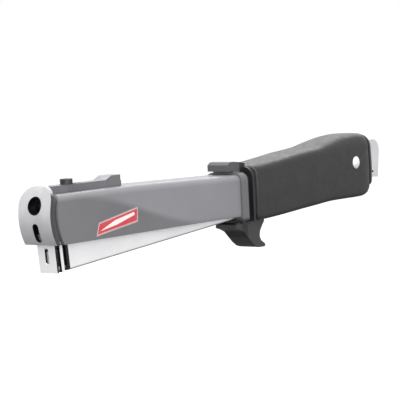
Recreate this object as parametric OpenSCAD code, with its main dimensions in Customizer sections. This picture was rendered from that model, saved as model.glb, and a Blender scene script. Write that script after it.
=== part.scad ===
// Hammer tacker: a staple gun that is swung like a hammer.
// A straight rear-loading magazine runs the whole length of the tool and turns on one cross pin near the
// butt. When the nose hits the work, the magazine swings up into the housing and a fixed blade drives a staple.
// +X runs from the face plate to the tail cap, Y is across the tool and +Z is up.
// The origin is under the middle of the tool, at the height of the finger guard's lowest point.

/* [Overall] */
// Length from the front of the face plate to the back of the tail cap
tool_l = 370; // [370:1:372]
// Height of the housing's open underside above the lowest point of the finger guard
under_h = 24.4; // [24:0.1:26]

/* [Housing] */
// Width of the folded steel housing
housing_w = 29; // [29:0.1:29.4]
// Height of the housing
housing_h = 31; // [31:0.1:31.4]
// Length of the housing from its front lower corner to its rear edge
housing_l = 187; // [186:0.1:187]
// Thickness of the housing's sheet steel
sheet = 1.5; // [1.4:0.05:1.5]
// Outer radius along the housing's shoulders
shoulder_r = 4.5; // [4:0.1:5]
// Fall of the housing's top behind the slide, in degrees
fall = 1.2; // [1.1:0.05:1.2]

/* [Face plate] */
// Width of the cast face plate
face_w = 27.4; // [27.2:0.1:28]
// Height of the cast face plate
face_h = 36.5; // [36:0.1:37]
// How far the curved face stands in front of the housing's lower corner
bulge = 6; // [5.8:0.1:6]
// Thickness of the face plate
face_t = 2.5; // [2.3:0.1:2.6]
// Diameter of the hanging hole
hang_d = 11; // [10:0.1:11]
// Height of the hanging hole's centre above the housing's underside
hang_z = 24.6; // [24:0.1:25]

/* [Magazine] */
// Slope of the magazine at rest, in degrees
slope = 5; // [4.9:0.1:5]
// Width of the magazine channel
mag_w = 15; // [14.8:0.1:15]
// Height of the magazine channel
mag_h = 22; // [21.8:0.1:22]
// Wall thickness of the magazine's sheet parts
mag_t = 1.2; // [1.1:0.05:1.2]
// Outer width of the staples
staple_w = 10.6; // [10.4:0.1:10.6]
// Leg length of the staples
staple_leg = 10.5; // [8:0.5:10.5]
// Diameter of the pivot pin
pivot_d = 6; // [5.8:0.1:6]

/* [Handle] */
// Width of the rubber grip
grip_w = 36; // [35:0.5:37]
// Width of the hard plastic bolster
bolster_w = 32; // [32:0.1:33]
// Width of the belt tongue and of the finger guard
guard_w = 18; // [17.6:0.1:18]

/* [Hidden] */
$fn = 48;
far = 500;

// Face: all of its curved fronts are the same arc, moved back
face_r = 35;
face_mid_z = 17.5;
frame_gap = 0.3;
panel_setback = 6;
hinge_x = 2.6;
hinge_z = 1.6;
hinge_pin_d = 2;
rail_z = housing_h + 0.05;

// Magazine: its own frame starts at the nose's lower front corner
nose_x = 4;
nose_drop = 18;
pivot_x = 318;
pivot_z = 27;
swing = 2.56;
core_w = 7.8;
wire = 1.3;
core_top = 12.6;
crown_top = core_top + 0.1 + wire;
drive_gap = 4.4;
channel_front = 9.5;
channel_end = 340;
strip_end = drive_gap + 106.6;
follower_l = 22;
rod_z = 5;
rod_d = 2.4;
along = cos(slope);
rise = sin(slope);
pivot_mag_x = (pivot_x - nose_x) * along + (pivot_z + nose_drop) * rise;
pivot_mag_z = (pivot_z + nose_drop) * along - (pivot_x - nose_x) * rise;

// Handle
core_tilt = 3.5;
handle_core_w = housing_w - 2 * sheet;
core_start = 150;
core_end = 340;
core_knee = 187;
fall_start = 75;
rear_drop = (core_knee - fall_start) * tan(fall);
grip_start = 194;
cap_start = 338;
cap_back = 350;
spring_x = 120;
// the housing's inside is 1 mm above the spring's seat, at the rear of the cup
spring_seat = housing_h - sheet - (spring_x + 7 - fall_start) * tan(fall) - 1;
handle_top = [[194, 33.6], [206, 34.6], [222, 36.1], [238, 37.7], [254, 39.6], [270, 40.9], [280, 42],
              [290, 44], [300, 45.9], [312, 47.7], [326, 48.6], [336, 48.2], [342, 46.8], [346, 44.8],
              [350, 41.4]];
handle_bottom = [[350, 12.4], [348, 10.2], [345, 8.9], [338.4, 7.6], [337.6, 6.2], [336, 3.6], [332, 1.8],
                 [326, 1], [288, 0.9], [269, -0.3], [250, -1.5], [230, -3], [210, -4.2], [194, -4.4]];

// ---- placing ----
// From the housing's front lower corner
module on_tool() translate([bulge - tool_l / 2, 0, under_h]) children();

// From the nose's lower front corner, along the sloping magazine
module on_magazine() on_tool() translate([nose_x, 0, -nose_drop]) rotate([0, -slope, 0]) children();

// From the top rear corner of the housing, along the handle's steel core
module on_core() translate([core_knee, 0, housing_h - rear_drop - sheet]) rotate([0, -core_tilt, 0])
    children();

// Along the blade, which leans halfway between the magazine's two end positions
module on_blade() translate([4.5, 0, 10]) rotate([0, swing / 2 - slope, 0]) children();

module along_x(x0, x1) translate([x0, 0, 0]) rotate([90, 0, 90]) linear_extrude(x1 - x0) children();

module across(w) rotate([90, 0, 0]) translate([0, 0, -w / 2]) linear_extrude(w) children();

module box(x, y, z) translate([x[0], y[0], z[0]]) cube([x[1] - x[0], y[1] - y[0], z[1] - z[0]]);

module centred_box(x, w, z) box(x, [-w / 2, w / 2], z);

module cross_rod(x, z, d, w) translate([x, w / 2, z]) rotate([90, 0, 0]) cylinder(d = d, h = w);

module both_sides() for (side = [-1, 1]) scale([1, side, 1]) children();

// A door-shaped outline, square below and round at its two upper corners
module arch(w, h, r) {
    translate([-w / 2, 0]) square([w, h - r]);
    translate([r - w / 2, 0]) square([w - 2 * r, h]);
    for (side = [-1, 1]) translate([side * (w / 2 - r), h - r]) circle(r);
}

module rounded_rect(w, h, r) {
    translate([-w / 2, r - h / 2]) square([w, h - 2 * r]);
    translate([r - w / 2, -h / 2]) square([w - 2 * r, h]);
    for (y = [-1, 1]) for (z = [-1, 1]) translate([y * (w / 2 - r), z * (h / 2 - r)]) circle(r);
}

// Everything behind the curved front, with the curve's foremost point at x
module behind_curve(x) {
    translate([x + face_r, far / 2, face_mid_z]) rotate([90, 0, 0]) cylinder(r = face_r, h = far, $fn = 96);
    centred_box([x + face_r, x + face_r + far], far, [face_mid_z - face_r, face_mid_z + face_r]);
}

// ---- housing and head ----
// The housing's form, smaller all round by a wall: level over the slide, then falling to the rear
module housing_form(wall, x0, x1, z0) intersection() {
    along_x(x0, x1) translate([0, z0])
        arch(housing_w - 2 * wall, housing_h - wall - z0, shoulder_r - wall);
    translate([fall_start, 0, housing_h - wall]) rotate([0, fall, 0]) along_x(-far, far)
        translate([0, -60]) arch(housing_w - 2 * wall, 60, shoulder_r - wall);
}

module housing() color("#87878a") on_tool() difference() {
    intersection() {
        housing_form(0, -bulge, housing_l, 0);
        behind_curve(panel_setback - bulge);
    }
    housing_form(sheet, -far, far, -1);
    translate([24, 0, 0]) cylinder(d = 5, h = far);
    for (x = [12, 20]) for (y = [-8, 8]) translate([x, y, 20]) cylinder(d = 3.2, h = far);
}

module head_frame() color("#3a3a3c") on_tool() difference() {
    intersection() {
        along_x(-bulge, 14) arch(handle_core_w, housing_h - sheet, shoulder_r - sheet);
        behind_curve(face_t + frame_gap - bulge);
    }
    along_x(-far, far) translate([0, -1]) arch(handle_core_w - 4, housing_h - sheet - 1, shoulder_r - 2.5);
    centred_box([-bulge - 1, 5], 15, [20, housing_h]);
    for (y = [-8, 8]) translate([12, y, 20]) cylinder(d = 3.2, h = far);
    cross_rod(hinge_x, hinge_z, hinge_pin_d, far);
}

module face_plate() color("#c9c9cb") on_tool() difference() {
    union() {
        intersection() {
            along_x(-bulge - 1, 8) arch(face_w, face_h, 11);
            difference() {
                behind_curve(-bulge);
                behind_curve(face_t - bulge);
            }
        }
        // collar behind the hanging hole
        intersection() {
            translate([-bulge, 0, hang_z]) rotate([0, 90, 0]) cylinder(d = hang_d + 3, h = bulge);
            behind_curve(-bulge + 1);
        }
        // two ears round the hinge pin
        both_sides() {
            box([0, hinge_x], [8.4, 10.6], [0, 2 * hinge_z]);
            translate([hinge_x, 10.6, hinge_z]) rotate([90, 0, 0]) cylinder(r = hinge_z, h = 2.2);
        }
        // T-shaped lug that the slide holds
        centred_box([0, 4.5], 4, [32.2, 34.6]);
        centred_box([4, 5.5], 8, [32.2, 34.6]);
    }
    translate([-bulge - 1, 0, hang_z]) rotate([0, 90, 0]) cylinder(d = hang_d, h = far);
    centred_box([-bulge - 1, 3], 4.4, [4.2, 13.4 - 2.2]);
    for (z = [4.2, 13.4 - 2.2]) translate([-bulge - 1, 0, z]) rotate([0, 90, 0]) cylinder(d = 4.4, h = 9);
    cross_rod(hinge_x, hinge_z, hinge_pin_d + 0.1, 24);
}

// Two stub pins, one each side, so that the nose has room between them
module face_hinge_pin() color("#a8a8ab") on_tool() both_sides()
    translate([hinge_x, handle_core_w / 2, hinge_z]) rotate([90, 0, 0]) cylinder(d = hinge_pin_d, h = 4.8);

// Thumb slide on the housing's top: pushed forward, it swings the face plate open to clear a jam
module jam_slide() color("#7d7d80") on_tool() translate([0, 0, rail_z]) difference() {
    union() {
        centred_box([1.6, 68.5], 12, [0, 3.6]);
        centred_box([3, 67.5], 9.6, [3.5, 4.6]);
        across(11) polygon([[53, 4], [60, 7.2], [68.5, 7.2], [68.5, 3], [53, 3]]);
    }
    // pocket for the face plate's lug, open above and below
    centred_box([0, 3.6], 5.4, [-1, 6]);
    centred_box([3.3, 6.9], 9.4, [-1, 6]);
    // slot for the shoulder screw
    centred_box([24, 33.9], 5.4, [-1, 6]);
    for (x = [24, 33.9]) translate([x, 0, -1]) cylinder(d = 5.4, h = 7);
}

module slide_screw() color("#38383a") on_tool() difference() {
    union() {
        translate([24, 0, rail_z + 4.7]) cylinder(d = 8, h = 3.3);
        translate([24, 0, rail_z - 6]) cylinder(d = 5, h = 10.7);
    }
    translate([24, 0, rail_z + 6.6]) cylinder(d = 4, h = 2, $fn = 6);
}

// ---- striking parts ----
module driver_block() color("#9a9a9e") on_tool() difference() {
    centred_box([5.6, 29], 20, [21.2, housing_h - sheet]);
    on_blade() centred_box([-10, 0.6], 22, [-20, 15.6]);
    centred_box([0, 14.1], 30, [housing_h - 3.8, housing_h]);
    translate([24, 0, rail_z - 6]) cylinder(d = 5, h = far);
    for (x = [12, 20]) for (y = [-8, 8]) translate([x, y, 22]) cylinder(d = 3, h = far);
}

module driver_blade() color("#b9b9bc") on_tool() on_blade() centred_box([-0.6, 0.6], 9.8, [-13.3, 15.4]);

module driver_screws() color("#4a4a4c") on_tool() for (x = [12, 20]) for (y = [-8, 8])
    translate([x, y, 22]) cylinder(d = 3, h = housing_h - 22);

module bumper() color("#2a2a2a") on_tool() centred_box([10, 29], 14, [19.8, 21.2]);

module spring_cup() color("#8c8c90") on_tool() translate([spring_x, 0, spring_seat]) difference() {
    translate([0, 0, -1.5]) cylinder(d = 14, h = 2.5);
    translate([0, 0, -2.5]) cylinder(d = 11.2, h = 2.5);
}

// A coil of round wire as a swept tube with flat-cut ends
module coil(r, wire_r, pitch, turns) {
    sides = 6;
    steps = 14;
    rings = steps * turns;
    points = [for (i = [0:rings]) for (s = [0:sides - 1])
        let (turn = 360 * i / steps, lie = 360 * s / sides, reach = r + wire_r * cos(lie))
        [reach * cos(turn), reach * sin(turn), pitch * i / steps + wire_r * sin(lie)]];
    skin = [for (i = [0:rings - 1]) for (s = [0:sides - 1])
        [i * sides + s, (i + 1) * sides + s, (i + 1) * sides + (s + 1) % sides, i * sides + (s + 1) % sides]];
    first = [for (s = [0:sides - 1]) s];
    last = [for (s = [sides - 1:-1:0]) rings * sides + s];
    polyhedron(points, concat([first], skin, [last]));
}

module return_spring() color("#9fa0a4") on_tool() translate([spring_x, 0, 15.5]) coil(4.6, 0.6, 2.2, 5);

// ---- magazine ----
module magazine_channel() color("#ececee") on_magazine() difference() {
    along_x(1.6, channel_end) translate([0, mag_h]) mirror([0, 1]) arch(mag_w, mag_h, 1.6);
    centred_box([-1, channel_front], far, [-1, 17.5]);
    centred_box([-1, far], mag_w - 2 * mag_t, [mag_t, far]);
    cross_rod(pivot_mag_x, pivot_mag_z, 8, far);
    for (side = [-1, 1]) translate([6, side * mag_w / 2, 20]) rotate([90, 0, 0])
        cylinder(d = 2.5, h = 4, center = true);
}

module magazine_core() color("#d5d5d8") on_magazine() difference() {
    centred_box([drive_gap - 0.2, channel_end - 2], core_w, [mag_t, core_top]);
    centred_box([-1, far], core_w - 2 * mag_t, [2 * mag_t, far]);
}

module nose_plate() color("#f2f2f3") on_magazine() difference() {
    union() {
        centred_box([0, 1.6], mag_w, [0, 24]);
        both_sides() box([1.6, 9], [5.2, mag_w / 2 - mag_t], [18, mag_h]);
    }
    centred_box([-1, 3], 3, [7, 14]);
    for (z = [7, 14]) translate([-1, 0, z]) rotate([0, 90, 0]) cylinder(d = 3, h = 4);
    cross_rod(6, 20, 2.5, mag_w);
}

module nose_guide() color("#f2f2f3") on_magazine() difference() {
    centred_box([drive_gap - 0.2, 6.8], mag_w, [0, 17.5]);
    centred_box([0, 10], 11.4, [mag_t, crown_top + 0.4]);
}

module nose_rivets() color("#c4c4c8") on_magazine() both_sides() {
    translate([6, mag_w / 2, 20]) rotate([90, 0, 0]) cylinder(d = 2.5, h = mag_w / 2 - 5.2);
    translate([6, mag_w / 2 + 0.7, 20]) rotate([90, 0, 0]) cylinder(d = 4.4, h = 0.7);
}

module spring_saddle() color("#c9c9cc") on_magazine()
    centred_box([104, 132], mag_w - 2 * mag_t, [mag_h - mag_t, mag_h]);

module staple_strip() color("#c8b68c") on_magazine() difference() {
    centred_box([drive_gap, strip_end], staple_w, [crown_top - staple_leg, crown_top]);
    centred_box([0, far], staple_w - 2 * wire, [0, crown_top - wire]);
}

module pivot_bushes() color("#b5893f") on_magazine() both_sides() difference() {
    union() {
        translate([pivot_mag_x, 11.2, pivot_mag_z]) rotate([90, 0, 0])
            cylinder(d = 8, h = 11.2 - mag_w / 2 + mag_t);
        translate([pivot_mag_x, 11.2, pivot_mag_z]) rotate([90, 0, 0]) cylinder(d = 11, h = 11.2 - mag_w / 2);
    }
    cross_rod(pivot_mag_x, pivot_mag_z, pivot_d + 0.1, far);
}

// ---- loader, which draws out of the back ----
module follower() color("#3b3b3d") on_magazine() difference() {
    union() {
        centred_box([strip_end + 0.1, strip_end + follower_l], staple_w, [crown_top - staple_leg, crown_top]);
        centred_box([strip_end + 4, strip_end + follower_l], 4.6, [2.8, crown_top]);
    }
    difference() {
        centred_box([0, far], core_w + 0.3, [0, core_top + 0.2]);
        centred_box([strip_end + 4, strip_end + follower_l], 4.6, [2.8, crown_top]);
    }
    translate([strip_end - 1, 0, rod_z]) rotate([0, 90, 0]) cylinder(d = rod_d + 0.2, h = 40);
}

module loader_rod() color("#c0c0c4") on_magazine() difference() {
    translate([13, 0, rod_z]) rotate([0, 90, 0]) cylinder(d = rod_d, h = 341);
    cross_rod(352, rod_z, 1.6, 20);
}

module rod_stop() color("#8f8f93") on_magazine() difference() {
    translate([12, 0, rod_z]) rotate([0, 90, 0]) cylinder(d = 4.6, h = 4);
    translate([13, 0, rod_z]) rotate([0, 90, 0]) cylinder(d = rod_d, h = 4);
}

// The long feed spring, drawn as the sleeve that its close coils fill
module feed_spring() color("#9fa0a4") on_magazine() difference() {
    translate([strip_end + follower_l + 0.1, 0, rod_z]) rotate([0, 90, 0]) cylinder(d = 4.4, h = 188);
    translate([strip_end, 0, rod_z]) rotate([0, 90, 0]) cylinder(d = 3, h = 240);
}

module tail_cap() color("#dcdcde") difference() {
    union() {
        on_magazine() {
            centred_box([322, 350], 4.6, [2.9, 12.3]);
            centred_box([326, 350], 12, [13.2, 21]);
            centred_box([340.5, 352], 12, [1.6, 21]);
        }
        on_tool() across(16) union() {
            polygon([[350.6, 13.4], [361.2, 13], [364, 33], [364, 34], [356, 42], [350.6, 42]]);
            intersection() {
                translate([356, 34]) circle(8);
                translate([350.6, 34]) square([20, 20]);
            }
        }
    }
    on_magazine() translate([300, 0, rod_z]) rotate([0, 90, 0]) cylinder(d = rod_d, h = 54);
    on_magazine() cross_rod(352, rod_z, 1.6, 40);
}

module tail_pin() color("#4a4a4c") on_magazine() cross_rod(352, rod_z, 1.6, 16.6);

// ---- handle ----
module handle_core() color("#77777a") on_tool() difference() {
    on_core() intersection() {
        along_x(core_start - core_knee, core_end - core_knee) translate([0, -27])
            arch(handle_core_w, 27, shoulder_r - sheet);
        // keeps the core's front end under the housing's top
        centred_box([-far, far], far, [-far, 0]);
    }
    on_core() along_x(-far, far) translate([0, -28]) arch(handle_core_w - 2 * sheet, 28 - sheet, 1.5);
    // relief over the magazine, which rises into it
    on_core() centred_box([-far, 32], 17, [-5, 5]);
    // level with the housing's open underside
    centred_box([0, 195], far, [-far, 0.2]);
    cross_rod(pivot_x, pivot_z, pivot_d, far);
    for (side = [-1, 1]) translate([pivot_x, side * 13, 14]) rotate([90, 0, 0])
        cylinder(d = 2.6, h = 6, center = true);
}

// Collar round the back of the housing, with the belt tongue above and the finger guard below
module bolster() color("#3f3f41") on_tool() difference() {
    union() {
        along_x(181, 188) translate([0, -3]) arch(bolster_w, 33.2, 6);
        along_x(188, 192) translate([0, -3]) arch(28, 31.7, 5);
        along_x(192, grip_start) translate([0, -4.4]) arch(34, 38, 8);
        across(guard_w) polygon([[175, 31.4], [175, 35.8], [177.5, 37.6], [181, 37.9], [188, 37.2],
                                 [194, 36], [194, 27], [181, 27], [181, 31.4]]);
        across(guard_w) polygon([[181, -6.2], [181, -8.6], [185.5, -10], [190, -12], [198.4, -20], [203, -23.2],
                                 [207, -24.4], [213.4, -24.4], [213.6, -22.4], [209.2, -19.6], [207.6, -16.6],
                                 [208.2, -13], [210.6, -9.6], [213.4, -6.4], [213.4, -4.5], [194, -4.5],
                                 [194, -4.1], [186, -4.6], [183, -4.6]]);
        centred_box([186, 194], 23, [-5.6, 0]);
    }
    // seat of the housing and of the handle core
    housing_form(0, 0, housing_l, -0.01);
    on_core() along_x(-8, far) translate([0, -27]) arch(handle_core_w + 0.2, 27.1, shoulder_r - sheet);
    centred_box([0, 210], 19, [-1.7, 20]);
    // hollow of the finger guard
    across(guard_w - 5) polygon([[179, 1], [179, -5], [187, -7.4], [191.6, -9.4], [199, -16.6], [203.6, -19.6],
                                 [203, -6.6], [200, -5.6], [186, -5.6], [186, 1]]);
    // room for the magazine
    on_tool_magazine() centred_box([100, 240], 17, [-1.6, 30]);
}

// The magazine's frame again, for use inside on_tool()
module on_tool_magazine() translate([nose_x, 0, -nose_drop]) rotate([0, -slope, 0]) children();

module rest_pad() color("#232323") on_magazine() centred_box([195.5, 202], 13, [-1.6, -0.1]);

module handle_outline() polygon(concat(handle_top, handle_bottom));

module handle_solid() intersection() {
    across(grip_w) handle_outline();
    translate([grip_start, 0, 16.8]) rotate([0, -2.6, 0]) along_x(-20, 200) rounded_rect(grip_w, 53, 11);
}

module handle_cavity() {
    on_core() along_x(-far, far) translate([0, -27]) arch(handle_core_w, 27.05, shoulder_r - sheet);
    on_tool_magazine() centred_box([100, 318], 17, [-1.6, 12]);
    on_tool_magazine() centred_box([317, 400], 17, [-3, 12]);
}

module grip() color("#4c4c4e") on_tool() difference() {
    intersection() {
        handle_solid();
        centred_box([grip_start, cap_start], far, [-far, far]);
    }
    handle_cavity();
    both_sides() {
        translate([pivot_x, 17.5, pivot_z]) rotate([90, 0, 0]) cylinder(d = 13, h = 6);
        translate([pivot_x, 18.1, pivot_z]) rotate([90, 0, 0]) cylinder(r1 = 9.6, r2 = 6.5, h = 3.4);
        translate([pivot_x, 18, 14]) rotate([90, 0, 0]) cylinder(d = 5, h = 8);
    }
}

module grip_screws() color("#5a5a5c") on_tool() both_sides() difference() {
    union() {
        translate([pivot_x, 17, 14]) rotate([90, 0, 0]) cylinder(d = 4.8, h = 4);
        translate([pivot_x, 14, 14]) rotate([90, 0, 0]) cylinder(d = 2.6, h = 3.2);
    }
    translate([pivot_x, 18, 14]) rotate([90, 0, 0]) cylinder(d = 2.4, h = 2.4, $fn = 6);
}

module end_cap() color("#454547") on_tool() difference() {
    intersection() {
        handle_solid();
        centred_box([cap_start, cap_back], far, [-far, far]);
        translate([334, 0, -20]) cylinder(r = grip_w / 2, h = 100, $fn = 96);
    }
    on_core() along_x(-far, core_end - core_knee) translate([0, -27])
        arch(handle_core_w, 27, shoulder_r - sheet);
    on_tool_magazine() centred_box([300, 400], 16.6, [-1.9, 24]);
}

module pivot_pin() color("#e4e4e6") on_tool() {
    cross_rod(pivot_x, pivot_z, pivot_d, 2 * 15);
    dome(-1);
}

module pivot_cap() color("#e4e4e6") on_tool() dome(1);

// Polished domed head on the pivot pin, against the side of the handle core
module dome(side) difference() {
    intersection() {
        translate([pivot_x, side * 12.6, pivot_z]) sphere(r = 7, $fn = 64);
        translate([pivot_x, side * 17, pivot_z]) rotate([90, 0, 0]) cylinder(d = 11.6, h = 8, center = true);
    }
    if (side > 0) cross_rod(pivot_x, pivot_z, pivot_d, 2 * 15);
}

housing();
head_frame();
face_plate();
face_hinge_pin();
jam_slide();
slide_screw();
driver_block();
driver_blade();
driver_screws();
bumper();
spring_cup();
return_spring();
magazine_channel();
magazine_core();
nose_plate();
nose_guide();
nose_rivets();
spring_saddle();
staple_strip();
pivot_bushes();
follower();
loader_rod();
rod_stop();
feed_spring();
tail_cap();
tail_pin();
handle_core();
bolster();
rest_pad();
grip();
grip_screws();
end_cap();
pivot_pin();
pivot_cap();
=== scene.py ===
import math
import bpy
from mathutils import Matrix, Vector


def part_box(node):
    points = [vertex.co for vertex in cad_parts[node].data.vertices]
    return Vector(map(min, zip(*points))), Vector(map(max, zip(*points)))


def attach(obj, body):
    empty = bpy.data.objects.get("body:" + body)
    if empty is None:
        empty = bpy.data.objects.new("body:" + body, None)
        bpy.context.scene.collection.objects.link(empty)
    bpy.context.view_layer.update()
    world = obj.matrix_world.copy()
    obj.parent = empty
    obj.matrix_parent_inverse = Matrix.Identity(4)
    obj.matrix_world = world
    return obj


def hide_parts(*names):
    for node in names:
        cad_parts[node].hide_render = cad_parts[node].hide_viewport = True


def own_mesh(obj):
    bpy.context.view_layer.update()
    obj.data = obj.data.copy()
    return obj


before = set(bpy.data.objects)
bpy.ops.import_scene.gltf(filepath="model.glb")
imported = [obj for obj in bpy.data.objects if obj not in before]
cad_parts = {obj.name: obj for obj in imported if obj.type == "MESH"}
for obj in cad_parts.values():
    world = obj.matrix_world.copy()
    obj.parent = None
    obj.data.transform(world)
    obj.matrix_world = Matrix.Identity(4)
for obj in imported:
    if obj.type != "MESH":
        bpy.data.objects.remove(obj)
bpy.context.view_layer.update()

# ---- Housing ----
# The long grey cover is one sheet of 1.5 mm steel, folded down on both sides with round shoulders
# and open below. It is powder coated, and everything else is screwed or welded into it.
sheet_low, sheet_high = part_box("housing")
housing_length = 0.187


def on_tool(x, y, z):
    """A place in millimetres from the housing's front lower corner, as metres in the row frame."""
    front = sheet_high.x - housing_length
    return Vector((front + x / 1000, y / 1000, sheet_low.z + z / 1000))


def break_edges(node, width, segments=2):
    """Rounds a part's sharp edges by a width in millimetres, as tumbling or moulding leaves them."""
    joined = node.modifiers.new("joined faces", "WELD")
    joined.merge_threshold = 0.00001
    edge = node.modifiers.new("broken edges", "BEVEL")
    edge.width = width / 1000
    edge.segments = segments
    edge.limit_method = "ANGLE"
    edge.angle_limit = math.radians(28)
    edge.miter_outer = "MITER_ARC"
    evened = node.modifiers.new("even shading", "WEIGHTED_NORMAL")
    evened.weight = 80


def tint(code, alpha=1.0):
    """A colour from its six-figure code, as the linear values that a shader takes."""
    parts = [int(code[i:i + 2], 16) / 255 for i in (1, 3, 5)]
    linear = [c / 12.92 if c <= 0.04045 else ((c + 0.055) / 1.055) ** 2.4 for c in parts]
    return (*linear, alpha)


def start_finish(name, metallic, specular=0.5):
    """A new finish with its shader, and the place on the part that its patterns are laid out by."""
    finish = bpy.data.materials.new(name)
    finish.use_nodes = True
    nodes = finish.node_tree.nodes
    shader = nodes["Principled BSDF"]
    shader.inputs["Metallic"].default_value = metallic
    shader.inputs["Specular IOR Level"].default_value = specular
    place = nodes.new("ShaderNodeTexCoord").outputs["Object"]
    return finish, shader, place


def speckle(finish, place, size, detail=4.0, stretch=(1, 1, 1)):
    """Cloudy noise with patches of a size in millimetres, drawn out along an axis if stretched."""
    nodes, links = finish.node_tree.nodes, finish.node_tree.links
    drawn = nodes.new("ShaderNodeMapping")
    drawn.inputs["Scale"].default_value = stretch
    links.new(place, drawn.inputs["Vector"])
    noise = nodes.new("ShaderNodeTexNoise")
    noise.inputs["Scale"].default_value = 1000 / size
    noise.inputs["Detail"].default_value = detail
    links.new(drawn.outputs["Vector"], noise.inputs["Vector"])
    return noise.outputs["Fac"]


def between(finish, amount, low, high, start=0.3, end=0.7):
    """Turns an amount, from start to end, into a number from low to high."""
    scale = finish.node_tree.nodes.new("ShaderNodeMapRange")
    scale.inputs["From Min"].default_value = start
    scale.inputs["From Max"].default_value = end
    scale.inputs["To Min"].default_value = low
    scale.inputs["To Max"].default_value = high
    finish.node_tree.links.new(amount, scale.inputs["Value"])
    return scale.outputs["Result"]


def shades(finish, amount, dark, light, start=0.3, end=0.7):
    """Turns an amount, from start to end, into a colour from dark to light."""
    ramp = finish.node_tree.nodes.new("ShaderNodeValToRGB")
    ramp.color_ramp.elements[0].position = start
    ramp.color_ramp.elements[0].color = tint(dark)
    ramp.color_ramp.elements[1].position = end
    ramp.color_ramp.elements[1].color = tint(light)
    finish.node_tree.links.new(amount, ramp.inputs["Fac"])
    return ramp.outputs["Color"]


def raise_grain(finish, shader, amount, depth, strength=1.0):
    """Presses a pattern into the surface, to a depth in millimetres."""
    bump = finish.node_tree.nodes.new("ShaderNodeBump")
    bump.inputs["Distance"].default_value = depth / 1000
    bump.inputs["Strength"].default_value = strength
    finish.node_tree.links.new(amount, bump.inputs["Height"])
    finish.node_tree.links.new(bump.outputs["Normal"], shader.inputs["Normal"])


def coat(node_name, finish):
    """Gives a frame part its finish."""
    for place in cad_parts[node_name].material_slots:
        place.material = finish


def grey_coat_and_painted_reflection():
    """Grey powder coat with orange peel and slightly uneven gloss, painted a lighter grey above a soft curve
    as a painted reflection.
    """
    finish, shader, place = start_finish("grey_coat_and_painted_reflection", 0.0, 0.45)
    nodes, links = finish.node_tree.nodes, finish.node_tree.links
    split = nodes.new("ShaderNodeSeparateXYZ")
    links.new(place, split.inputs["Vector"])
    # the border of the painted reflection falls from the front shoulder to the lower edge at the back
    border = nodes.new("ShaderNodeMapRange")
    border.interpolation_type = "SMOOTHSTEP"
    border.inputs["From Min"].default_value = on_tool(15, 0, 0).x
    border.inputs["From Max"].default_value = on_tool(145, 0, 0).x
    border.inputs["To Min"].default_value = on_tool(0, 0, 27.5).z
    border.inputs["To Max"].default_value = on_tool(0, 0, 0).z
    links.new(split.outputs["X"], border.inputs["Value"])
    above = nodes.new("ShaderNodeMath")
    above.operation = "SUBTRACT"
    links.new(split.outputs["Z"], above.inputs[0])
    links.new(border.outputs["Result"], above.inputs[1])
    upper = between(finish, above.outputs["Value"], 0.0, 1.0, -0.0015, 0.0025)
    lower_grey = shades(finish, speckle(finish, place, 30), "#68686a", "#6e6e70")
    # painted reflection: the lighter grey laid above the border
    reflection_grey = shades(finish, speckle(finish, place, 38), "#7d7d81", "#858589")
    paint = nodes.new("ShaderNodeMix")
    paint.data_type = "RGBA"
    links.new(upper, paint.inputs["Factor"])
    links.new(lower_grey, paint.inputs[6])
    links.new(reflection_grey, paint.inputs[7])
    links.new(paint.outputs[2], shader.inputs["Base Color"])
    links.new(between(finish, speckle(finish, place, 9), 0.3, 0.42), shader.inputs["Roughness"])
    raise_grain(finish, shader, speckle(finish, place, 0.9, 2.0), 0.012)
    return finish


break_edges(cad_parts["housing"], 0.3)
coat("housing", grey_coat_and_painted_reflection())

# ---- Badge ----
# A plain slanted bar on each side of the housing, screen printed in red over a thin pale outline,
# with a paler stripe along its middle. The ink lies a few hundredths of a millimetre proud.
badge_base = 14.52
badge_pale = [(33.4, 2.0), (36.2, 10.4), (73.6, 17.0), (73.0, 7.4)]
badge_red = [(34.6, 3.1), (37.0, 9.5), (72.6, 15.8), (72.1, 8.4)]
badge_stripe = [(37.0, 5.0), (51.5, 10.6), (69.8, 14.0), (70.2, 12.2), (53.0, 7.6)]


def mesh_piece(name, places, faces, smooth=False):
    """A new piece from places in the row frame and the faces between them."""
    mesh = bpy.data.meshes.new(name)
    mesh.from_pydata([tuple(p) for p in places], [], faces)
    mesh.validate()
    mesh.update()
    if smooth:
        mesh.shade_smooth()
    piece = bpy.data.objects.new(name, mesh)
    bpy.context.scene.collection.objects.link(piece)
    return piece


def printed_patch(name, corners, side, inner, outer):
    """A thin closed slab of ink on the housing's side, between two distances from the middle."""
    count = len(corners)
    places = [on_tool(x, side * y, z) for y in (inner, outer) for x, z in corners]
    faces = [list(range(count))[::-1], list(range(count, 2 * count))]
    for i in range(count):
        j = (i + 1) % count
        faces.append([i, j, count + j, count + i])
    if side > 0:
        faces = [face[::-1] for face in faces]
    return mesh_piece(name, places, faces)


def printing_ink(name, dark, light):
    """Screen printing ink, with small thin spots and a soft gloss."""
    finish, shader, place = start_finish(name, 0.0, 0.4)
    links = finish.node_tree.links
    links.new(shades(finish, speckle(finish, place, 4), dark, light), shader.inputs["Base Color"])
    links.new(between(finish, speckle(finish, place, 1.5), 0.35, 0.5), shader.inputs["Roughness"])
    raise_grain(finish, shader, speckle(finish, place, 0.5, 2.0), 0.006)
    return finish


red_ink = printing_ink("red_ink", "#c23a44", "#cf4650")
pale_ink = printing_ink("pale_ink", "#b4a2a4", "#bfaeb0")
stripe_ink = printing_ink("stripe_ink", "#e9dcd8", "#f2e8e4")
for side, hand in ((-1, "right"), (1, "left")):
    layers = (("outline", badge_pale, 0.0, 0.03, pale_ink), ("bar", badge_red, 0.03, 0.06, red_ink),
              ("stripe", badge_stripe, 0.06, 0.08, stripe_ink))
    for part, corners, start, end, ink in layers:
        patch = printed_patch(f"badge_{part}_{hand}", corners, side, badge_base + start, badge_base + end)
        patch.data.materials.append(ink)
        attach(patch, "root")

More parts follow.
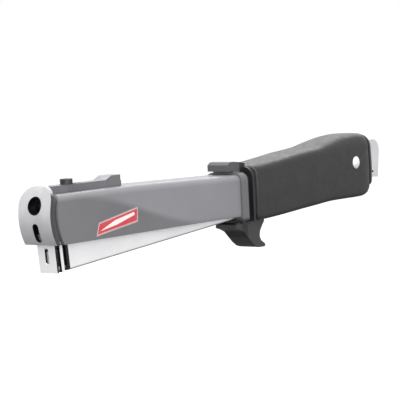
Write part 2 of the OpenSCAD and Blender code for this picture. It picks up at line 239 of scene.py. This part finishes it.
# ---- Head frame and hinge stubs ----
# A heavy steel bow inside the housing's front carries the blows. It is blackened, and only its
# front shows, as a dark band behind the face plate. Two ground steel stubs in it hinge the plate.


def turned_steel(name, dark, light, rough_low, rough_high, scratch=(1, 1, 1), metallic=1.0, size=3.0):
    """Bare or plated steel: cloudy tone, fine directional marks and gloss that varies with handling."""
    finish, shader, place = start_finish(name, metallic)
    links = finish.node_tree.links
    links.new(shades(finish, speckle(finish, place, 5 * size), dark, light), shader.inputs["Base Color"])
    marks = speckle(finish, place, size, 6.0, scratch)
    links.new(between(finish, marks, rough_low, rough_high), shader.inputs["Roughness"])
    raise_grain(finish, shader, speckle(finish, place, size / 3, 5.0, scratch), 0.008)
    return finish


blackened_steel = turned_steel("blackened_steel", "#505053", "#5e5e61", 0.4, 0.55, metallic=0.6)
break_edges(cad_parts["head_frame"], 0.4)
coat("head_frame", blackened_steel)
ground_steel = turned_steel("ground_steel", "#b0b0b3", "#c6c6c9", 0.2, 0.34, (1, 4, 1))
break_edges(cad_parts["face_hinge_pin"], 0.2)
coat("face_hinge_pin", ground_steel)

# ---- Driving parts ----
# A raw aluminium block is held under the housing's top by four black socket screws, and clamps the
# hardened blade that drives the staple. A rubber buffer below stops the magazine; a pressed steel
# cup further back seats the return spring.
break_edges(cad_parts["driver_block"], 0.4)
coat("driver_block", turned_steel("raw_aluminium", "#a4a4a8", "#b6b6ba", 0.3, 0.45, (0.15, 1, 1)))
break_edges(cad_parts["driver_blade"], 0.15)
coat("driver_blade", turned_steel("hard_blade_steel", "#b4b4b7", "#cbcbce", 0.16, 0.3, (1, 1, 0.1)))
break_edges(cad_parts["driver_screws"], 0.2)
black_screw_steel = turned_steel("black_screw_steel", "#3c3c3e", "#4a4a4d", 0.3, 0.45, metallic=0.7)
coat("driver_screws", black_screw_steel)
break_edges(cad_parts["spring_cup"], 0.3)
plated_steel = turned_steel("plated_steel", "#b4b5b8", "#cccdd0", 0.22, 0.38, (0.3, 1, 1))
coat("spring_cup", plated_steel)


def soft_rubber(name, dark, light, grain, depth):
    """Moulded rubber: nearly matt, with a fine pebbled grain and a faint cloudy tone."""
    finish, shader, place = start_finish(name, 0.0, 0.5)
    links = finish.node_tree.links
    links.new(shades(finish, speckle(finish, place, 14), dark, light), shader.inputs["Base Color"])
    links.new(between(finish, speckle(finish, place, 4), 0.4, 0.54), shader.inputs["Roughness"])
    raise_grain(finish, shader, speckle(finish, place, grain, 3.0), depth)
    return finish


break_edges(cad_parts["bumper"], 0.3)
buffer_rubber = soft_rubber("buffer_rubber", "#262626", "#303030", 0.8, 0.03)
coat("bumper", buffer_rubber)

# ---- Face plate ----
# A satin zinc casting, curved like a shield, that closes the head's front. It hinges on two ears at
# its foot, and has a hanging hole with a collar and a slot below it. Its side walls, and the walls of
# the hole and the slot, are darkened as painted shade.
hang_z, hang_radius = 24.6, 5.5
slot_low, slot_high, slot_radius = 4.2, 11.2, 2.2


def satin_casting(name, dark, light):
    """A die casting, vibrated smooth: fine pits, soft cloudy sheen and no direction."""
    finish, shader, place = start_finish(name, 0.55)
    links = finish.node_tree.links
    links.new(shades(finish, speckle(finish, place, 12), dark, light), shader.inputs["Base Color"])
    links.new(between(finish, speckle(finish, place, 3), 0.34, 0.5), shader.inputs["Roughness"])
    raise_grain(finish, shader, speckle(finish, place, 0.6, 3.0), 0.02)
    return finish


def recolour(finish, amount, colour):
    """Turns a finish's own colour into another wherever an amount rises from 0 to 1."""
    links = finish.node_tree.links
    shader = finish.node_tree.nodes["Principled BSDF"]
    blend = finish.node_tree.nodes.new("ShaderNodeMix")
    blend.data_type = "RGBA"
    links.new(amount, blend.inputs["Factor"])
    links.new(shader.inputs["Base Color"].links[0].from_socket, blend.inputs[6])
    blend.inputs[7].default_value = tint(colour)
    links.new(blend.outputs[2], shader.inputs["Base Color"])


def paint_shade_in_bore(finish, low_z, high_z, radius, colour):
    """Paints shade on the wall of a bore, or of a slot with round ends, darkening it."""
    nodes, links = finish.node_tree.nodes, finish.node_tree.links
    split = nodes.new("ShaderNodeSeparateXYZ")
    links.new(nodes.new("ShaderNodeTexCoord").outputs["Object"], split.inputs["Vector"])
    nearest = nodes.new("ShaderNodeClamp")
    nearest.inputs["Min"].default_value = on_tool(0, 0, low_z).z
    nearest.inputs["Max"].default_value = on_tool(0, 0, high_z).z
    links.new(split.outputs["Z"], nearest.inputs["Value"])
    above = nodes.new("ShaderNodeMath")
    above.operation = "SUBTRACT"
    links.new(split.outputs["Z"], above.inputs[0])
    links.new(nearest.outputs["Result"], above.inputs[1])
    off_axis = nodes.new("ShaderNodeCombineXYZ")
    links.new(split.outputs["Y"], off_axis.inputs["Y"])
    links.new(above.outputs["Value"], off_axis.inputs["Z"])
    reach = nodes.new("ShaderNodeVectorMath")
    reach.operation = "LENGTH"
    links.new(off_axis.outputs["Vector"], reach.inputs[0])
    wall = between(finish, reach.outputs["Value"], 1.0, 0.0, (radius + 0.1) / 1000, (radius + 0.45) / 1000)
    recolour(finish, wall, colour)


def paint_shade_on_sides(finish, colour):
    """Paints shade on the walls that face sideways, darkening them."""
    nodes, links = finish.node_tree.nodes, finish.node_tree.links
    split = nodes.new("ShaderNodeSeparateXYZ")
    links.new(nodes.new("ShaderNodeTexCoord").outputs["Normal"], split.inputs["Vector"])
    sideways = nodes.new("ShaderNodeMath")
    sideways.operation = "ABSOLUTE"
    links.new(split.outputs["Y"], sideways.inputs[0])
    recolour(finish, between(finish, sideways.outputs["Value"], 0.0, 1.0, 0.75, 0.9), colour)


break_edges(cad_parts["face_plate"], 0.7, 3)
face_casting = satin_casting("satin_face_casting", "#c0c0c2", "#d0d0d2")
# painted shade: the plate's sideways walls darkened
paint_shade_on_sides(face_casting, "#4a4a4c")
# painted shade inside the hanging hole and the slot
paint_shade_in_bore(face_casting, hang_z, hang_z, hang_radius, "#101011")
paint_shade_in_bore(face_casting, slot_low, slot_high, slot_radius, "#101011")
coat("face_plate", face_casting)

# ---- Jam slide ----
# A pressed rail with a thumb tab lies on the housing's top and runs under the head of a black
# shoulder screw. Pushed forward, its T-shaped pocket swings the face plate open to clear a jam.
break_edges(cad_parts["jam_slide"], 0.4)
coat("jam_slide", turned_steel("grey_zinc_plate", "#6c6c6f", "#7a7a7d", 0.32, 0.46, (0.3, 1, 1), 0.6))
break_edges(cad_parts["slide_screw"], 0.35)
coat("slide_screw", black_screw_steel)

# ---- Magazine ----
# A folded steel channel, bright nickel plated, that runs the length of the tool. A narrow core
# inside it carries the staples, which leave through the gap between the nose plate and the guide.
# Faces at the nose and the channel's lower edge are darkened as painted shade. A saddle seats the spring,
# and bushes turn on the pin.
magazine_slope = math.radians(5)


def on_magazine(x, y, z):
    """A place in millimetres along the sloping magazine, from its nose, as metres in the row frame."""
    along, rise = math.cos(magazine_slope), math.sin(magazine_slope)
    return on_tool(4 + x * along - z * rise, y, -18 + x * rise + z * along)


def recolour_band(finish, start, end, soft, colour):
    """Recolours the finish between two places, with borders as soft as a length in millimetres."""
    nodes, links = finish.node_tree.nodes, finish.node_tree.links
    from_middle = nodes.new("ShaderNodeVectorMath")
    from_middle.operation = "SUBTRACT"
    from_middle.inputs[1].default_value = (start + end) / 2
    links.new(nodes.new("ShaderNodeTexCoord").outputs["Object"], from_middle.inputs[0])
    along = nodes.new("ShaderNodeVectorMath")
    along.operation = "DOT_PRODUCT"
    along.inputs[1].default_value = (end - start).normalized()
    links.new(from_middle.outputs["Vector"], along.inputs[0])
    distance = nodes.new("ShaderNodeMath")
    distance.operation = "ABSOLUTE"
    links.new(along.outputs["Value"], distance.inputs[0])
    half, border = (end - start).length / 2, soft / 1000
    recolour(finish, between(finish, distance.outputs["Value"], 1.0, 0.0, half - border, half + border), colour)


def nickel_plate(name):
    """Bright nickel on rolled steel: nearly white, with faint marks along the magazine."""
    return turned_steel(name, "#f0f0f1", "#f8f8f8", 0.28, 0.4, (0.12, 1, 1), 0.5)


nose_nickel = nickel_plate("nose_nickel")
# painted shade: the nose plate's sideways walls black
paint_shade_on_sides(nose_nickel, "#1e1e20")
channel_nickel = nickel_plate("channel_nickel")
# painted shade: a black band on the channel behind the gap at the nose
recolour_band(channel_nickel, on_magazine(6, 0, 0), on_magazine(11.8, 0, 0), 0.2, "#1e1e20")
# painted shade: a grey line along the channel's lower edge
recolour_band(channel_nickel, on_magazine(0, 0, -2), on_magazine(0, 0, 0.8), 0.3, "#8c8c90")
guide_nickel = nickel_plate("guide_nickel")
# painted shade: a black band across the guide at the nose
recolour_band(guide_nickel, on_magazine(1, 0, 0), on_magazine(4.3, 0, 0), 0.05, "#1e1e20")
inner_nickel = nickel_plate("inner_nickel")
for node_name, plating in (("magazine_channel", channel_nickel), ("magazine_core", inner_nickel),
                           ("nose_plate", nose_nickel), ("nose_guide", guide_nickel),
                           ("spring_saddle", inner_nickel)):
    break_edges(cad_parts[node_name], 0.3)
    coat(node_name, plating)
break_edges(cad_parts["nose_rivets"], 0.3, 3)
coat("nose_rivets", ground_steel)
break_edges(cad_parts["pivot_bushes"], 0.3)
coat("pivot_bushes", turned_steel("bush_bronze", "#a87a3a", "#c0924c", 0.28, 0.42, (1, 5, 1)))

# ---- Staples ----
# A glued strip of 84 staples of flat galvanised wire sits astride the core. Each staple is 1.27 mm
# wide with square legs, and a fine groove shows where it meets the next.
staple_pitch = 1.27
staple_count = 84


def staple_outline(drawn_in):
    """Once round a staple seen from the nose, in millimetres, smaller all round by a small amount."""
    half, crown, wire = 5.3 - drawn_in, 14.0 - drawn_in, 1.3 - 2 * drawn_in
    foot, corner = 3.5, 0.7
    right = [(half - corner, crown)]
    for step in (1, 2, 3):
        turn = math.radians(90 - 30 * step)
        right.append((half - corner + corner * math.cos(turn), crown - corner + corner * math.sin(turn)))
    right += [(half, foot), (half - wire, foot), (half - wire, crown - wire)]
    return right + [(-y, z) for y, z in right[::-1]]


def skin_of(rings, capped=True):
    """Closed skin over a row of rings with equal numbers of places."""
    count = len(rings[0])
    faces = []
    for ring in range(len(rings) - 1):
        first, second = ring * count, (ring + 1) * count
        for i in range(count):
            j = (i + 1) % count
            faces.append([first + i, first + j, second + j, second + i])
    if capped:
        faces.append(list(range(count))[::-1])
        faces.append([(len(rings) - 1) * count + i for i in range(count)])
    return [place for ring in rings for place in ring], faces


joints = []
for number in range(staple_count):
    start = 4.4 + number * staple_pitch
    joints += [(start, 0.09), (start + 0.12, 0.0), (start + staple_pitch - 0.12, 0.0)]
joints.append((4.4 + staple_count * staple_pitch - 0.1, 0.09))
strip = mesh_piece("staples", *skin_of(
    [[on_magazine(x, y, z) for y, z in staple_outline(drawn_in)] for x, drawn_in in joints]))
# the wire is coloured far darker than zinc, as painted shade inside the magazine
strip.data.materials.append(
    turned_steel("galvanised_wire_darkened_as_shade", "#3c3c3d", "#505051", 0.25, 0.4, (1, 0.2, 1), 0.9, 1.5))
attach(strip, "magazine")
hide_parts("staple_strip")

# ---- Loader ----
# The staples are pushed forward by a black steel follower on a long rod. Its spring is wound from
# 0.7 mm wire round the rod, and the rod is pinned to the bright cap that draws out of the butt.


def wound_wire(start, end, reach, wire, turns, closed_turns=1.0, steps=14, sides=7):
    """Rings along a coil spring from start to end, with close end turns. Sizes are in millimetres."""
    axis = (end - start).normalized()
    across = axis.cross(Vector((0, 1, 0))).normalized()
    upright = axis.cross(across)
    length = (end - start).length * 1000
    close = 2 * wire * 1.04
    open_pitch = (length - 2 * closed_turns * close) / (turns - 2 * closed_turns)
    rings = []
    for step in range(int(turns * steps) + 1):
        turned = step / steps
        climb = close * min(turned, closed_turns)
        climb += open_pitch * min(max(turned - closed_turns, 0), turns - 2 * closed_turns)
        climb += close * max(turned - (turns - closed_turns), 0)
        outward = across * math.cos(2 * math.pi * turned) + upright * math.sin(2 * math.pi * turned)
        middle = start + axis * (climb / 1000) + outward * (reach / 1000)
        ring = []
        for side in range(sides):
            round_wire = 2 * math.pi * side / sides
            spoke = outward * math.cos(round_wire) + axis * math.sin(round_wire)
            ring.append(middle + spoke * (wire / 1000))
        rings.append(ring)
    return rings


spring_steel = turned_steel("spring_steel", "#9c9da0", "#b2b3b6", 0.22, 0.36, (1, 1, 1), 1.0, 1.2)
feed_front = on_magazine(133.5, 0, 5)
feed_back = on_magazine(320.7, 0, 5)
feed_spring = mesh_piece("feed_spring_coils", *skin_of(wound_wire(feed_front, feed_back, 1.82, 0.35, 62,
                                                                 2.0, 12, 6)), smooth=True)
feed_spring.data.materials.append(spring_steel)
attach(feed_spring, "loader")
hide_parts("feed_spring")
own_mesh(feed_spring)

break_edges(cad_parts["follower"], 0.3)
coat("follower", blackened_steel)
for node_name in ("loader_rod", "rod_stop"):
    break_edges(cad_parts[node_name], 0.2)
    coat(node_name, plated_steel)
break_edges(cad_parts["tail_cap"], 0.9, 3)
coat("tail_cap", turned_steel("satin_chrome", "#d8d8da", "#e6e6e7", 0.24, 0.36, (1, 0.2, 1), 0.8))
break_edges(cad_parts["tail_pin"], 0.2)
coat("tail_pin", black_screw_steel)

# ---- Return spring ----
# A short compression spring of 1.2 mm wire stands between the saddle and the cup in the housing.
# It holds the magazine down, and is pressed flat when the nose strikes.
spring_wire = 0.55
spring_foot = on_tool(120, 0, 15.5)
spring_top = on_tool(120, 0, 26.8)
return_spring = mesh_piece("return_spring_coils", *skin_of(
    wound_wire(spring_foot, spring_top, 4.6, spring_wire, 6, 1.0, 20, 8)), smooth=True)
return_spring.data.materials.append(spring_steel)
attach(return_spring, "root")
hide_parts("return_spring")
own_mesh(return_spring)

# ---- Handle core ----
# A second folded steel channel is welded inside the housing's back end, rises at 3.5 degrees and
# carries the handle. It is dipped in grey primer, and only shows inside the handle's openings.
break_edges(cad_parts["handle_core"], 0.3)
coat("handle_core", turned_steel("primed_steel", "#707073", "#7c7c7f", 0.4, 0.55, metallic=0.2))

# ---- Bolster ----
# One moulding of hard glass-filled plastic slides over the core: a collar round the housing's rear
# edge in a paler grey, a belt tongue above, a hollow finger guard below, and a deep black groove
# before the grip.
groove_start, groove_end = 187.9, 194.3


def moulded_plastic(name, dark, light):
    """Spark-eroded plastic: a fine even texture and faint flow clouds."""
    finish, shader, place = start_finish(name, 0.0, 0.5)
    links = finish.node_tree.links
    links.new(shades(finish, speckle(finish, place, 18), dark, light), shader.inputs["Base Color"])
    links.new(between(finish, speckle(finish, place, 5), 0.36, 0.5), shader.inputs["Roughness"])
    raise_grain(finish, shader, speckle(finish, place, 0.45, 2.0), 0.014)
    return finish


break_edges(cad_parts["bolster"], 0.5)
bolster_moulding = moulded_plastic("bolster_moulding", "#4b4b4d", "#545456")
recolour_band(bolster_moulding, on_tool(170, 0, 0), on_tool(groove_start, 0, 0), 0.1, "#626264")
recolour_band(bolster_moulding, on_tool(0, 0, 30.9), on_tool(0, 0, 60), 0.2, "#4b4b4d")
recolour_band(bolster_moulding, on_tool(0, 0, -60), on_tool(0, 0, -1.5), 0.8, "#343436")
recolour_band(bolster_moulding, on_tool(groove_start, 0, 0), on_tool(groove_end, 0, 0), 0.1, "#1a1a1b")
coat("bolster", bolster_moulding)
break_edges(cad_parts["rest_pad"], 0.3)
coat("rest_pad", buffer_rubber)

# ---- Grip ----
# A sleeve of dark grey rubber, moulded over the core: flat sides, a low crown that rises to a hump
# over the butt, and a dished opening on each side round the pivot pin, with a screw hole below it.
crown_line = [(194, 33.6), (206, 34.6), (222, 36.1), (238, 37.7), (254, 39.6), (270, 40.9), (280, 42.0),
              (290, 44.0), (300, 45.9), (312, 47.7), (326, 48.55), (336, 48.15), (342, 46.8), (346, 44.8),
              (350, 41.4)]
belly_line = [(194, -4.4), (210, -4.2), (230, -3.0), (250, -1.5), (269, -0.3), (288, 0.9), (326, 1.0),
              (332, 1.8), (336, 3.6), (338, 6.2)]
side_line = [(194, 17.0), (212, 17.5), (240, 18.0), (322, 18.0), (332, 17.6), (338, 16.4)]
crown_width = [(194, 8.0), (225, 7.0), (270, 8.0), (300, 10.5), (338, 12.0)]
crown_drop = [(194, 6.0), (225, 5.0), (270, 5.5), (300, 8.0), (320, 10.5), (352, 10.0)]
pivot_x, pivot_z = 318, 27
screw_z = 14


def along_line(line, x):
    """The smooth curve through a line's points, read at x."""
    if x <= line[0][0]:
        return line[0][1]
    if x >= line[-1][0]:
        return line[-1][1]
    i = max(n for n in range(len(line) - 1) if line[n][0] <= x)
    (x0, z0), (x1, z1) = line[i], line[i + 1]

    def slope(n):
        before, after = line[max(n - 1, 0)], line[min(n + 1, len(line) - 1)]
        return (after[1] - before[1]) / (after[0] - before[0])

    part, span = (x - x0) / (x1 - x0), x1 - x0
    return ((2 * part**3 - 3 * part**2 + 1) * z0 + (part**3 - 2 * part**2 + part) * span * slope(i)
            + (3 * part**2 - 2 * part**3) * z1 + (part**3 - part**2) * span * slope(i + 1))


def handle_section(x, half_width, bottom_line, drawn_in=0.0):
    """Half of the handle's outer section at x, from the crown's middle round to the belly's middle."""
    wide = half_width - drawn_in
    top = along_line(crown_line, x) - drawn_in
    bottom = along_line(bottom_line, x) + drawn_in
    soft_wide = min(along_line(crown_width, x), 0.75 * wide)
    soft_drop = along_line(crown_drop, x)
    dome, belly = 0.9, 0.35
    foot_wide, foot_drop = 4.5, 4.0
    half = []
    for step in range(6):
        out = (wide - soft_wide) * step / 6
        half.append((out, top - dome * (out / wide) ** 2))
    shoulder = top - dome * ((wide - soft_wide) / wide) ** 2
    for step in range(11):
        turn = math.radians(90 - 9 * step)
        half.append((wide - soft_wide + (soft_wide - belly) * math.cos(turn) ** 0.85,
                     shoulder - soft_drop + soft_drop * math.sin(turn) ** 0.85))
    flank_top, flank_bottom = shoulder - soft_drop, bottom + foot_drop
    for step in range(1, 9):
        part = step / 9
        half.append((wide + belly * math.sin(math.pi * part) - belly,
                     flank_top + (flank_bottom - flank_top) * part))
    for step in range(7):
        turn = math.radians(15 * step)
        half.append((wide - foot_wide + (foot_wide - belly) * math.cos(turn) ** 0.8,
                     bottom + foot_drop - foot_drop * math.sin(turn) ** 0.8))
    for step in range(1, 5):
        half.append(((wide - foot_wide) * (1 - step / 4), bottom))
    return half


def core_hollow(x, wide, top, step_z, slot_wide, low):
    """Half of the hollow that a handle piece slides over the core with, point for point as outside."""
    half = [(wide * step / 16, top) for step in range(17)]
    half += [(wide, top + (step_z - top) * step / 9) for step in range(1, 9)]
    half += [(wide, step_z), (wide + (slot_wide - wide) / 2, step_z), (slot_wide, step_z)]
    half += [(slot_wide, step_z + (low - step_z) * step / 4) for step in range(1, 5)]
    half += [(slot_wide * (1 - step / 4), low) for step in range(1, 5)]
    return half


def whole_ring(half, x):
    """Both halves of a section as one ring of places at x."""
    left = [(-y, z) for y, z in half[-2:0:-1]]
    return [on_tool(x, y, z) for y, z in half + left]


def sleeve(outside, inside):
    """A tube with thickness: the outer rings, then back through the inner ones, closed on itself."""
    rings = outside + inside[::-1]
    places, faces = skin_of(rings, capped=False)
    count = len(rings[0])
    last = (len(rings) - 1) * count
    for i in range(count):
        j = (i + 1) % count
        faces.append([last + i, last + j, j, i])
    return places, faces


def turned_cutter(name, x, z, side, profile, sides=48):
    """A lathe-turned cutter across the tool at x and z. Its profile is radius and distance outward."""
    rings = []
    for radius, out in profile:
        rings.append([on_tool(x + radius * math.cos(2 * math.pi * i / sides), side * out,
                              z + radius * math.sin(2 * math.pi * i / sides)) for i in range(sides)])
    places, faces = skin_of(rings)
    if side < 0:
        faces = [face[::-1] for face in faces]
    return mesh_piece(name, places, faces)


def cut_out(piece, cutters):
    """Cuts the cutters out of a piece, applies it and clears them away."""
    for cutter in cutters:
        cut = piece.modifiers.new("cut", "BOOLEAN")
        cut.operation = "DIFFERENCE"
        cut.solver = "EXACT"
        cut.object = cutter
    seen = piece.evaluated_get(bpy.context.evaluated_depsgraph_get())
    carved = bpy.data.meshes.new_from_object(seen)
    piece.modifiers.clear()
    piece.data = carved
    for cutter in cutters:
        bpy.data.objects.remove(cutter)


def even_smooth(piece, angle):
    """Smooth shading that keeps edges sharper than an angle."""
    piece.data.shade_smooth()
    piece.data.set_sharp_from_angle(angle=math.radians(angle))


def core_line(x, below):
    """Height on the core at x, a distance below its top, in millimetres."""
    return 27.15 + (x - 187) * math.tan(math.radians(3.5)) - below


def magazine_line(x, above):
    """Height at x, a distance above the magazine's underside, in millimetres."""
    return -18 + (x - 4) * math.tan(magazine_slope) + above / math.cos(magazine_slope)


grip_stations = [(194.0, 1.3), (196.9, 1.2), (197.1, 0.7), (197.5, 0.2), (198.2, 0.0)]
grip_stations += [(198.2 + 2.95 * step, 0.0) for step in range(1, 47)]
grip_stations += [(336.9, 0.0), (337.65, 0.3), (338.0, 0.9)]
outer_rings = []
inner_rings = []
for x, drawn_in in grip_stations:
    outer_rings.append(whole_ring(handle_section(x, along_line(side_line, x), belly_line, drawn_in), x))
    inner_rings.append(whole_ring(core_hollow(x, 13.05, core_line(x, -0.08), core_line(x, 27.0), 8.6,
                                              magazine_line(x, -1.65)), x))
grip = mesh_piece("grip_sleeve", *sleeve(outer_rings, inner_rings))
dish = [(6.3, 12.5), (6.3, 14.2), (6.6, 14.9), (7.3, 15.8), (8.2, 16.7), (9.2, 17.5), (10.2, 18.2),
        (10.2, 19.5)]
screw_hole = [(2.5, 12.5), (2.5, 17.0), (2.7, 17.6), (3.3, 18.4), (3.3, 19.5)]
cutters = []
for side, hand in ((-1, "right"), (1, "left")):
    cutters.append(turned_cutter(f"dish_{hand}", pivot_x, pivot_z, side, dish))
    cutters.append(turned_cutter(f"screw_hole_{hand}", pivot_x, screw_z, side, screw_hole, 24))
cut_out(grip, cutters)
even_smooth(grip, 38)
grip.data.materials.clear()
grip_skin = soft_rubber("grip_rubber_skin", "#222224", "#282829", 0.7, 0.035)
recolour_band(grip_skin, on_tool(185, 0, 0), on_tool(197.2, 0, 0), 0.1, "#141415")
grip.data.materials.append(grip_skin)
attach(grip, "root")
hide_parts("grip")
break_edges(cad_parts["grip_screws"], 0.25)
coat("grip_screws", black_screw_steel)

# ---- End cap ----
# A cap of hard plastic closes the butt: round in plan, in line with the grip before it, and open in
# the middle so that the loader can be drawn out. It clips on the core with a fine seam all round.
cap_centre, cap_radius = 334, 18.0
cap_belly = [(338, 7.7), (345, 8.9), (348, 9.8), (350, 11.2)]


def cap_half_width(x):
    """Half the cap's width at x, from its round plan."""
    return math.sqrt(cap_radius**2 - (x - cap_centre) ** 2) - 0.6


cap_stations = [(338.05, 2.6), (338.9, 2.5), (339.0, 0.9), (339.3, 0.3), (340.0, 0.0), (340.3, 0.0),
                (340.35, 0.0), (342.0, 0.0), (343.9, 0.0), (344.0, 0.0), (345.5, 0.0), (347.0, 0.0),
                (348.2, 0.0), (348.9, 0.0), (349.25, 0.1), (349.4, 0.35)]
outer_rings = []
inner_rings = []
for x, drawn_in in cap_stations:
    outer_rings.append(whole_ring(handle_section(x, cap_half_width(x), cap_belly, drawn_in), x))
    if x <= 340.3:
        hollow = core_hollow(x, 13.05, core_line(x, -0.08), core_line(x, 27.0), 8.3, magazine_line(x, -1.65))
    else:
        slot_wide = 8.0 if x <= 343.9 else 6.4
        low = magazine_line(x, -1.75) if x <= 343.9 else magazine_line(x, -0.1)
        top = magazine_line(x, 23.0)
        hollow = core_hollow(x, slot_wide, top, low + 6, slot_wide, low)
    inner_rings.append(whole_ring(hollow, x))
end_cap = mesh_piece("butt_cap", *sleeve(outer_rings, inner_rings))
even_smooth(end_cap, 38)
end_cap.data.materials.append(moulded_plastic("cap_moulding", "#212122", "#272729"))
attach(end_cap, "root")
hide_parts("end_cap")

# ---- Pivot pin ----
# One 6 mm pin crosses the handle and carries the magazine. Its polished domed heads sit in the
# grip's dished openings, one solid with the pin and one pressed on.
polished = turned_steel("polished_head", "#f2f2f3", "#fafafa", 0.3, 0.4, metallic=0.35)
for node_name in ("pivot_pin", "pivot_cap"):
    break_edges(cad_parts[node_name], 0.3)
    coat(node_name, polished)

# ---- Studio ----
# A wide pale floor lies well below the tool. Soft light comes from a pale sky, a broad overhead sun
# and four panels: above, high behind the butt, in front of the face, and at the near side.
floor_drop = 0.16
floor_size = 14.0


def pale_floor():
    """Matt white floor paint, very slightly uneven."""
    finish, shader, place = start_finish("floor_paint", 0.0, 0.2)
    links = finish.node_tree.links
    links.new(shades(finish, speckle(finish, place, 300), "#f4f4f4", "#f8f8f8"), shader.inputs["Base Color"])
    links.new(between(finish, speckle(finish, place, 90), 0.8, 0.95), shader.inputs["Roughness"])
    return finish


rim = [(floor_size * math.cos(math.radians(6 * i)), floor_size * math.sin(math.radians(6 * i)), -floor_drop)
       for i in range(60)]
floor = mesh_piece("floor", rim, [list(range(60))])
floor.data.materials.append(pale_floor())
floor.visible_diffuse = False
floor.visible_glossy = False

sky = bpy.data.worlds.new("pale_sky")
sky.use_nodes = True
sky_nodes, sky_links = sky.node_tree.nodes, sky.node_tree.links
backing = sky_nodes["Background"]
direction = sky_nodes.new("ShaderNodeTexCoord")
split = sky_nodes.new("ShaderNodeSeparateXYZ")
sky_links.new(direction.outputs["Generated"], split.inputs["Vector"])
fade = sky_nodes.new("ShaderNodeValToRGB")
fade.color_ramp.elements[0].position = 0.20
fade.color_ramp.elements[0].color = (0.19, 0.19, 0.195, 1)
fade.color_ramp.elements[1].position = 0.50
fade.color_ramp.elements[1].color = (0.86, 0.86, 0.87, 1)
height = sky_nodes.new("ShaderNodeMapRange")
height.inputs["From Min"].default_value = -1.0
height.inputs["From Max"].default_value = 1.0
sky_links.new(split.outputs["Z"], height.inputs["Value"])
sky_links.new(height.outputs["Result"], fade.inputs["Fac"])
sky_links.new(fade.outputs["Color"], backing.inputs["Color"])
white_backing = sky_nodes.new("ShaderNodeBackground")
white_backing.inputs["Color"].default_value = (1, 1, 1, 1)
seen_directly = sky_nodes.new("ShaderNodeLightPath")
pick = sky_nodes.new("ShaderNodeMixShader")
sky_links.new(seen_directly.outputs["Is Camera Ray"], pick.inputs["Fac"])
sky_links.new(backing.outputs["Background"], pick.inputs[1])
sky_links.new(white_backing.outputs["Background"], pick.inputs[2])
sky_links.new(pick.outputs["Shader"], sky_nodes["World Output"].inputs["Surface"])
bpy.context.scene.world = sky


def panel(name, place, aim, wide, tall, power):
    """A soft light panel that faces a point."""
    light = bpy.data.lights.new(name, "AREA")
    light.shape = "RECTANGLE"
    light.size = wide
    light.size_y = tall
    light.energy = power
    lamp = bpy.data.objects.new(name, light)
    lamp.location = place
    lamp.rotation_mode = "QUATERNION"
    lamp.rotation_quaternion = (Vector(place) - Vector(aim)).to_track_quat("Z", "Y")
    bpy.context.scene.collection.objects.link(lamp)


sun = bpy.data.lights.new("broad_sun", "SUN")
sun.energy = 1.1
sun.angle = math.radians(50)
sun_lamp = bpy.data.objects.new("broad_sun", sun)
sun_lamp.rotation_mode = "QUATERNION"
sun_lamp.rotation_quaternion = Vector((-0.45, -0.25, 1.0)).to_track_quat("Z", "Y")
bpy.context.scene.collection.objects.link(sun_lamp)
middle = (0.0, 0.0, 0.04)
panel("overhead_panel", (-0.3, 0.2, 0.85), middle, 1.2, 0.5, 5)
panel("rear_panel", (1.0, 0.75, 0.75), middle, 1.3, 0.5, 5)
panel("front_panel", (-1.0, -0.9, 0.35), middle, 0.8, 0.6, 7)
panel("side_panel", (-0.1, -1.3, 0.25), middle, 1.2, 0.5, 4)

# The camera looks from the front right, a little above, and is tilted so that the handle rises.
turned, raised, tilted = math.radians(50.5), math.radians(4.48), math.radians(-2.83)
aim = Vector((-0.0247, 0.0, 0.0381))
gaze = Vector((math.sin(turned) * math.cos(raised), math.cos(turned) * math.cos(raised), -math.sin(raised)))
level = Vector((math.cos(turned), -math.sin(turned), 0))
upward = level.cross(gaze)
right = math.cos(tilted) * level + math.sin(tilted) * upward
top = -math.sin(tilted) * level + math.cos(tilted) * upward
lens = bpy.data.cameras.new("camera")
lens.sensor_width = 36
lens.lens = 158.2
camera = bpy.data.objects.new("camera", lens)
pose = Matrix((right, top, -gaze)).transposed().to_4x4()
pose.translation = aim - 1.2 * gaze
camera.matrix_world = pose
bpy.context.scene.collection.objects.link(camera)
bpy.context.scene.camera = camera
bpy.context.scene.view_settings.view_transform = "Standard"
